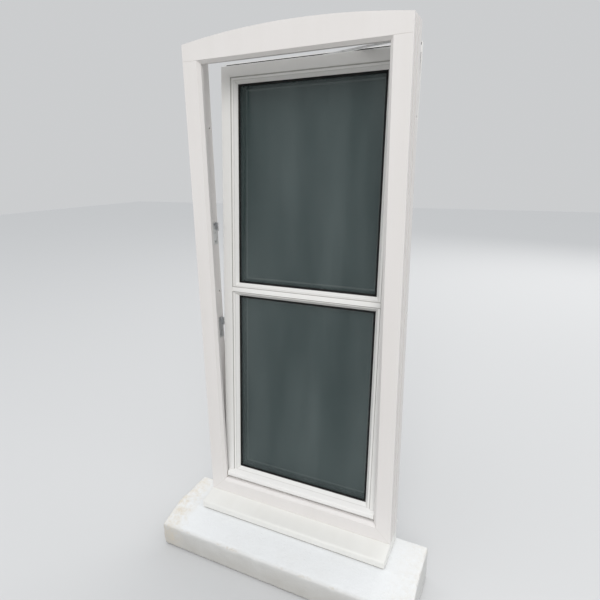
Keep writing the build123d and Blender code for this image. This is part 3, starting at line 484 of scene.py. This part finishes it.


# Glass units: two float panes held apart by a metal spacer bar. The inner pane is dark and
# grey-green and the outer one clear. Both carry lighter vertical streaks, partly a thin uneven film
# and partly painted reflections, and the inner pane has a painted shadow along its edges and a
# painted reflection of the spacer bar.
pane_dark = (0.046, 0.072, 0.074)
pane_film_and_reflection = (0.096, 0.130, 0.130)
pane_edge_shadow = (0.012, 0.018, 0.018)
spacer_reflection = (0.24, 0.265, 0.26)
outer_tint = (0.07, 0.10, 0.10)
film_thin, thick_film_and_reflection = (0.045, 0.07, 0.07), (0.13, 0.165, 0.165)
outer_face_y = (0.0585, 0.0595)
edge_shade_width = (0.007, 0.011)
spacer_inset = 0.0125
spacer_reflection_half_width = (0.0010, 0.0034)
streaks = (1, 1, 0.16)
clear_glass = finish_named("outer_glass", outer_tint, roughness=0.03, Alpha=0.3, IOR=1.7)
# Lighter vertical streaks, partly a thin film and partly painted reflections.
clear_film_and_reflections = noise(clear_glass, place_of(clear_glass, streaks), scale=11, roughness=0.55,
                   over=(0.3, 0.75))
into_shader(clear_glass, "Base Color",
            mix_colours(clear_glass, clear_film_and_reflections, film_thin, thick_film_and_reflection))

dark_glass = finish_named("inner_glass", pane_dark, roughness=0.22, Specular_IOR_Level=0.35)
dark_film_and_reflections = noise(dark_glass, place_of(dark_glass, streaks), scale=9, roughness=0.55,
                  over=(0.3, 0.75))
broad_film_and_reflections = noise(dark_glass, place_of(dark_glass, (1, 1, 0.6)), scale=3.2, detail=2,
                   over=(0.3, 0.7))
dark_film_and_reflections = spread(dark_glass, maths(dark_glass, "ADD", dark_film_and_reflections, broad_film_and_reflections), (0.2, 1.6))
pane_colour = mix_colours(dark_glass, dark_film_and_reflections, pane_dark, pane_film_and_reflection)
glass_parts = add_node(dark_glass, "SeparateXYZ", {"Vector": closed_place(dark_glass)})
on_outer_face = spread(dark_glass, glass_parts.outputs["Y"], outer_face_y, (1, 0))
from_rail = maths(dark_glass, "SUBTRACT",
                  from_line(dark_glass, glass_parts.outputs["Z"], mid_rail_z), mid_rail_half)
from_edge = maths(dark_glass, "MINIMUM", from_sides(dark_glass, glass_parts, sash_border),
                  from_rail)
# Painted shadow along the pane's edges and beside the mid rail, and a painted reflection of the
# spacer bar as a pale line, both on the outer face only.
for line, width, strength, colour in (
        (from_edge, edge_shade_width, 0.7, pane_edge_shadow),
        (from_line(dark_glass, from_edge, spacer_inset), spacer_reflection_half_width, 0.6, spacer_reflection)):
    band = spread(dark_glass, line, width, (strength, 0))
    pane_colour = mix_colours(dark_glass, maths(dark_glass, "MULTIPLY", on_outer_face, band),
                              pane_colour, colour)
into_shader(dark_glass, "Base Color", pane_colour)
dress(clear_glass, "upper_pane_outer", "lower_pane_outer")
dress(dark_glass, "upper_pane_inner", "lower_pane_inner")


# Gasket lips: the soft outer edge of each glazing gasket, in the same black rubber. It is tucked
# under the sash and lies on the glass as a line round each pane.
lip_width = 0.0058
lip_thickness = 0.0007
lip_tuck = 0.001
lip_y = 0.0358
lip_shape = bmesh.new()
for low_z, high_z in ((sash_foot_z + sash_border, mid_rail_z - mid_rail_half),
                      (mid_rail_z + mid_rail_half, sash_top_z - sash_border)):
    sheet = bmesh.ops.create_grid(
        lip_shape, x_segments=1, y_segments=1, size=0.5,
        matrix=Matrix.Translation((0, lip_y, (low_z + high_z) / 2))
        @ Matrix.Rotation(pi / 2, 4, "X")
        @ Matrix.Diagonal((2 * (sash_half - sash_border + lip_tuck),
                           high_z - low_z + 2 * lip_tuck, 1, 1)))
    pane_face = [face for face in lip_shape.faces if sheet["verts"][0] in face.verts]
    bmesh.ops.inset_region(lip_shape, faces=pane_face, thickness=lip_width + lip_tuck,
                           use_boundary=True, use_even_offset=True)
    bmesh.ops.delete(lip_shape, geom=pane_face, context="FACES_ONLY")
bmesh.ops.recalc_face_normals(lip_shape, faces=lip_shape.faces)
bmesh.ops.solidify(lip_shape, geom=lip_shape.faces[:], thickness=lip_thickness)
bmesh.ops.recalc_face_normals(lip_shape, faces=lip_shape.faces)
bmesh.ops.transform(lip_shape, verts=lip_shape.verts, matrix=tipped)
glazing_lips = piece_from(lip_shape, "glazing_lips", rubber)
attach(glazing_lips, "sash")


# Spacer bars and packers: rolled metal strips, glued in round the edge, hold the two panes apart,
# and flat blue plastic packers hold each unit off the sash.
spacer_grey = (0.50, 0.51, 0.52)
packer_blue = (0.05, 0.12, 0.40)
spacer_metal = finish_named("spacer_bar", spacer_grey, roughness=0.38, Metallic=1.0)
rolled = noise(spacer_metal, place_of(spacer_metal, (0.04, 1, 0.04)), scale=900, detail=2)
into_shader(spacer_metal, "Roughness", spread(spacer_metal, rolled, (0.2, 0.8), (0.28, 0.5)))
relief(spacer_metal, rolled, depth=0.00005)
dress(spacer_metal, "upper_spacer", "lower_spacer")
packer_plastic = finish_named("packer_plastic", packer_blue, roughness=0.5)
relief(packer_plastic, noise(packer_plastic, place_of(packer_plastic), scale=300), depth=0.0001)
dress(packer_plastic, "glazing_packers")


# Glazing beads: co-extruded uPVC strips, cut at 45 degrees and knocked in from inside, so they keep
# a little more shine than the sash.
bead_white = (0.81, 0.81, 0.80)
bead_finish, bead_place, bead_colour = white_upvc("bead_upvc", bead_white, (1, 1, 1),
                                                  runs_share=0.0, dust_share=0.06)
finish_upvc(bead_finish, bead_place, bead_colour)
beads = [f"{unit}_bead_{side}" for unit in ("upper", "lower")
         for side in ("bottom", "top", "left", "right")]
dress(bead_finish, *beads)
ease_edges(0.0004, *beads)


# Hinge brackets: zinc die castings with a white powder coat, which has a fine orange peel and is
# rubbed a little grey where hands and the arm reach.
coat_white = (0.79, 0.79, 0.775)
coat_rubbed = (0.62, 0.61, 0.59)
white_coat = finish_named("white_coat", coat_white, roughness=0.38)
coat_place = place_of(white_coat)
rubbed = noise(white_coat, coat_place, scale=110, detail=4, roughness=0.6, over=(0.58, 0.9),
               top=0.4)
into_shader(white_coat, "Base Color", mix_colours(white_coat, rubbed, coat_white, coat_rubbed))
relief(white_coat, noise(white_coat, coat_place, scale=900, detail=2), depth=0.00008)
dress(white_coat, "pivot_bearing", "stay_bearing", "hinge_band", "handle_rose")
ease_edges(0.0005, "pivot_bearing", "stay_bearing", "hinge_band")


# Ironmongery: stamped steel plates, keeps, rods and cams, plated with zinc and cleared silver. The
# plating is brushed along its length and clouded by a few dull spots.
zinc_bright = (0.66, 0.67, 0.68)
zinc_dull = (0.46, 0.46, 0.45)
zinc = finish_named("zinc_hardware", zinc_bright, roughness=0.35, Metallic=1.0)
zinc_clouds = noise(zinc, place_of(zinc), scale=85, detail=5, roughness=0.65, over=(0.5, 0.8))
into_shader(zinc, "Base Color", mix_colours(zinc, zinc_clouds, zinc_bright, zinc_dull))
brushing = noise(zinc, place_of(zinc, (1, 1, 0.05)), scale=1200, detail=2, over=(0.2, 0.8))
into_shader(zinc, "Roughness",
            spread(zinc, maths(zinc, "ADD", brushing, zinc_clouds), (0, 2), (0.26, 0.60)))
relief(zinc, brushing, depth=0.00004)
plates = ("stay_rail", "tilt_keep", "foot_plate", "corner_drive", "lock_keep_lower",
          "lock_keep_upper", "lock_faceplate", "stay_arm")
dress(zinc, "corner_pivot", "foot_bolt", "gearbox", "lock_rod", "lock_cams", "lock_pinion",
      "handle_spindle", "rose_screws", *plates)
ease_edges(0.0003, *plates)


# Screws: countersunk, cross-headed and zinc plated, one through every plate, keep and band. Each
# head is a dished disc with a cross sunk in it, let into its plate.
flat_radius = 0.00272
rim_growth = 1.25
cross_reach = 0.0019
arm_taper = 0.55
cross_depth = 0.0009
head_height = 0.0004
head_seat = 0.0010


def screw_head(shape, place):
    """Adds one head to the shape, its face turned along the place's Z."""
    grid = bmesh.ops.create_grid(shape, x_segments=3, y_segments=3, size=cross_reach)["verts"]
    for vert in grid:
        for axis in (0, 1):
            if abs(vert.co[axis]) < cross_reach * 0.5:
                vert.co[axis] *= arm_taper
    arms = [face for face in {face for vert in grid for face in vert.link_faces}
            if min(abs(face.calc_center_median().x), abs(face.calc_center_median().y))
            < cross_reach * 0.2]
    rim = list({edge for vert in grid for edge in vert.link_edges if edge.is_boundary})
    ring = bmesh.ops.create_circle(shape, segments=12, radius=flat_radius,
                                   matrix=Matrix.Rotation(radians(15), 4, "Z"))["verts"]
    ring_edges = list({edge for vert in ring for edge in vert.link_edges})
    bmesh.ops.bridge_loops(shape, edges=rim + ring_edges)
    outer = bmesh.ops.extrude_edge_only(shape, edges=ring_edges)["geom"]
    bmesh.ops.scale(shape, vec=(rim_growth, rim_growth, 1), verts=verts_in(outer))
    bmesh.ops.translate(shape, vec=(0, 0, -head_height), verts=verts_in(outer))
    let_in = bmesh.ops.extrude_edge_only(shape, edges=edges_in(outer))["geom"]
    bmesh.ops.translate(shape, vec=(0, 0, -head_seat), verts=verts_in(let_in))
    bmesh.ops.contextual_create(shape, geom=verts_in(let_in))
    sunk = bmesh.ops.extrude_face_region(shape, geom=arms)["geom"]
    bmesh.ops.delete(shape, geom=arms, context="FACES_ONLY")
    bmesh.ops.translate(shape, vec=(0, 0, -cross_depth), verts=verts_in(sunk))
    bmesh.ops.transform(shape, matrix=place, verts=list({
        *grid, *ring, *verts_in(outer), *verts_in(let_in), *verts_in(sunk)}))


def screws_at(name, body, places, carried=Matrix()):
    """One piece for all the screws of a body; each place is a point and the way it faces."""
    shape = bmesh.new()
    for index, (point, facing) in enumerate(places):
        turn = Vector(facing).to_track_quat("Z", "Y").to_matrix().to_4x4()
        spin = Matrix.Rotation(radians(37 * index), 4, "Z")
        lifted = Vector(point) + Vector(facing) * head_height
        screw_head(shape, carried @ Matrix.Translation(lifted) @ turn @ spin)
    bmesh.ops.recalc_face_normals(shape, faces=shape.faces)
    piece = piece_from(shape, name, zinc)
    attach(piece, body)


groove_y = 0.054
keep_x = -0.260
tilt_keep_z = 0.159
stay_rail_z = 1.3795
band_x, band_y = 0.2596, 0.0882
frame_screws = [((keep_x, groove_y, height), (1, 0, 0)) for height in (0.640, 0.920)]
frame_screws += [((keep_x, 0.050, height), (1, 0, 0)) for height in (0.688, 0.968)]
frame_screws += [((across, groove_y, tilt_keep_z), (0, 0, 1)) for across in (-0.191, -0.157)]
screws_at("keep_screws", "frame", frame_screws)

sash_screws = [((-sash_half, groove_y, height), (-1, 0, 0))
               for height in (0.185, 0.330, 0.447, 0.474, 0.600, 0.720, 0.850, 1.000, 1.135)]
sash_screws += [((across, groove_y, sash_foot_z), (0, 0, -1))
                for across in (-0.241, -0.221, -0.165)]
sash_screws += [((across, groove_y, stay_rail_z), (0, 0, 1))
                for across in (-0.030, 0.080, 0.150, 0.225)]
sash_screws += [((band_x, band_y, height), (0, 1, 0)) for height in (0.196, 0.236)]
screws_at("sash_screws", "sash", sash_screws, tipped)


# Handle: a zinc die casting with the same white coat. The round hub runs into a grip that narrows
# at the waist and swells again at its end.
hub_front_y = 0.0870
hub_radius = 0.0084
grip_y = 0.123
spindle_x, spindle_z = -0.2351, 0.690
# Each ring of the grip: height above the spindle, offset from its middle line, width and depth.
grip_rings = ((-0.0118, 0.0006, 0.008, 0.005), (-0.0108, 0.0004, 0.016, 0.011),
              (-0.0070, 0.0, 0.021, 0.0138), (0.008, 0.0, 0.0215, 0.014),
              (0.022, 0.0003, 0.0204, 0.0134), (0.042, 0.0010, 0.0188, 0.0122),
              (0.074, 0.0026, 0.0185, 0.0114), (0.098, 0.0038, 0.0194, 0.0112),
              (0.112, 0.0044, 0.0200, 0.0110), (0.1175, 0.0046, 0.0160, 0.0084),
              (0.1187, 0.0047, 0.008, 0.0045))
lever_shape = bmesh.new()
ring = bmesh.ops.create_circle(lever_shape, segments=16, radius=0.5, cap_ends=True)["verts"]
rim = list({edge for vert in ring for edge in vert.link_edges})
height, offset, width, depth = grip_rings[0]
bmesh.ops.scale(lever_shape, vec=(width, depth, 1), verts=ring)
bmesh.ops.translate(lever_shape, vec=(0, offset, height), verts=ring)
for below, above in zip(grip_rings, grip_rings[1:]):
    grown = bmesh.ops.extrude_edge_only(lever_shape, edges=rim)["geom"]
    ring, rim = verts_in(grown), edges_in(grown)
    bmesh.ops.translate(lever_shape, vec=(0, -below[1], 0), verts=ring)
    bmesh.ops.scale(lever_shape, vec=(above[2] / below[2], above[3] / below[3], 1), verts=ring)
    bmesh.ops.translate(lever_shape, vec=(0, above[1], above[0] - below[0]), verts=ring)
bmesh.ops.contextual_create(lever_shape, geom=ring)
bmesh.ops.translate(lever_shape, vec=(0, grip_y, 0), verts=lever_shape.verts)
hub = bmesh.ops.create_cone(lever_shape, cap_ends=True, segments=24, radius1=hub_radius,
                            radius2=hub_radius, depth=grip_y - hub_front_y,
                            matrix=Matrix.Translation((0, (grip_y + hub_front_y) / 2, 0))
                            @ Matrix.Rotation(pi / 2, 4, "X"))["verts"]
hub_ends = {edge for vert in hub for edge in vert.link_edges
            if len(edge.link_faces) == 2 and edge.calc_face_angle() > 1}
bmesh.ops.bevel(lever_shape, geom=list(hub_ends), offset=0.0008, segments=2, affect="EDGES",
                profile=0.5, material=-1)
bmesh.ops.recalc_face_normals(lever_shape, faces=lever_shape.faces)
bmesh.ops.transform(lever_shape, verts=lever_shape.verts,
                    matrix=tipped @ Matrix.Translation((spindle_x, 0, spindle_z)))
for face in lever_shape.faces:
    face.smooth = True
lever = piece_from(lever_shape, "handle_grip", white_coat)
rounding = lever.modifiers.new("rounding", "SUBSURF")
rounding.levels = 2
rounding.render_levels = 2
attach(lever, "handle")
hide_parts("handle_lever")


# Studio: a pale floor that the sill stands on, an even light all round that is brighter above, a
# large soft lamp high in front, a weaker one behind, and the camera at the photograph's angle.
floor_reach = 12
floor_pale = (0.60, 0.605, 0.61)
floor_under = (0.30, 0.30, 0.29)
studio_white = (0.97, 0.985, 1, 1)
backdrop_level = 0.62
level_below, level_above = 0.80, 1.00
lamp_white = (1.0, 0.98, 0.96)
lamp_width = 4.0
lamp_aim = Vector((0, 0, 0.8))
camera_lens = 28.38
camera_place = Vector((0.5327, -1.0500, 1.1214))
camera_right = Vector((0.9029, 0.4296, -0.0130))
camera_up = Vector((-0.1055, 0.2508, 0.9623))
camera_back = -Vector((-0.4166, 0.8675, -0.2717))
floor_shape = bmesh.new()
bmesh.ops.create_grid(floor_shape, x_segments=1, y_segments=1, size=floor_reach)
floor_finish = finish_named("floor_finish", floor_pale, roughness=0.9, Specular_IOR_Level=0.0,
                            Emission_Color=studio_white)
seen = add_node(floor_finish, "LightPath")
mirrored = maths(floor_finish, "MAXIMUM", seen.outputs["Is Glossy Ray"],
                 seen.outputs["Is Transmission Ray"])
floor_colour = mix_colours(floor_finish, seen.outputs["Is Camera Ray"], floor_under, floor_pale)
into_shader(floor_finish, "Base Color",
            mix_colours(floor_finish, mirrored, floor_colour, (0, 0, 0)))
into_shader(floor_finish, "Emission Strength",
            maths(floor_finish, "MULTIPLY", mirrored, backdrop_level))
piece_from(floor_shape, "floor", floor_finish)

studio = bpy.data.worlds.new("studio")
studio.use_nodes = True
upwards = add_node(studio, "SeparateXYZ", {
    "Vector": add_node(studio, "TexCoord").outputs["Generated"]})
light_level = spread(studio, upwards.outputs["Z"], (-0.1, 0.9), (level_below, level_above))
rays = add_node(studio, "LightPath")
shown = rays.outputs["Is Camera Ray"]
for ray in ("Is Glossy Ray", "Is Transmission Ray"):
    shown = maths(studio, "MAXIMUM", shown, rays.outputs[ray])
backdrop = add_node(studio, "Mix", {0: shown, 2: light_level, 3: backdrop_level})
background = studio.node_tree.nodes["Background"]
background.inputs["Color"].default_value = studio_white
studio.node_tree.links.new(backdrop.outputs[0], background.inputs["Strength"])
bpy.context.scene.world = studio

for name, place, power in (("front_lamp", (1.9, -4.6, 4.0), 150),
                           ("back_lamp", (1.4, 4.6, 3.6), 75)):
    lamp_data = bpy.data.lights.new(name, "AREA")
    lamp_data.shape = "DISK"
    lamp_data.size = lamp_width
    lamp_data.energy = power
    lamp_data.color = lamp_white
    lamp = bpy.data.objects.new(name, lamp_data)
    lamp.location = place
    lamp.rotation_euler = (lamp_aim - lamp.location).to_track_quat("-Z", "Y").to_euler()
    lamp.visible_transmission = False
    lamp.visible_glossy = False
    bpy.context.scene.collection.objects.link(lamp)

camera_data = bpy.data.cameras.new("camera")
camera_data.lens = camera_lens
camera_data.sensor_width = 36
camera = bpy.data.objects.new("camera", camera_data)
camera.matrix_world = (Matrix.Translation(camera_place)
                       @ Matrix((camera_right, camera_up, camera_back)).transposed().to_4x4())
bpy.context.scene.collection.objects.link(camera)
bpy.context.scene.camera = camera
bpy.context.scene.view_settings.view_transform = "Standard"
